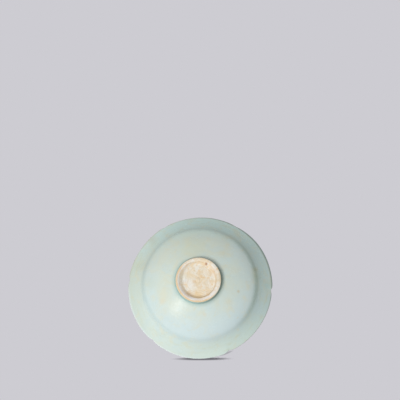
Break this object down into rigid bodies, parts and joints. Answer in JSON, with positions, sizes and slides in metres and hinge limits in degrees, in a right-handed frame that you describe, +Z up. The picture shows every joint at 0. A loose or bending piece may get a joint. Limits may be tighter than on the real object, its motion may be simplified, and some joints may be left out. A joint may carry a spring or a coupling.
{
  "type": "rice bowl",
  "caption": "Shallow glazed stoneware rice bowl with a flared, notched foliate rim, a glaze coat inside and outside, and a bare turned foot ring.",
  "frame": {"origin": "centre of the foot ring's resting face", "axes": "+Z up through the bowl's axis, out of its mouth; +X and +Y in the plane that the foot stands on"},
  "size_m": [0.16, 0.16, 0.044],
  "materials": {
    "bare_clay": "matt fired buff clay with an orange flush",
    "outside_glaze": "satin pale blue-green celadon glaze",
    "inside_glaze": "satin pale blue-green celadon glaze"
  },
  "bodies": {
    "root": {"clay_body": "bare_clay", "outer_glaze": "outside_glaze", "inner_glaze": "inside_glaze"}
  },
  "joints": []
}
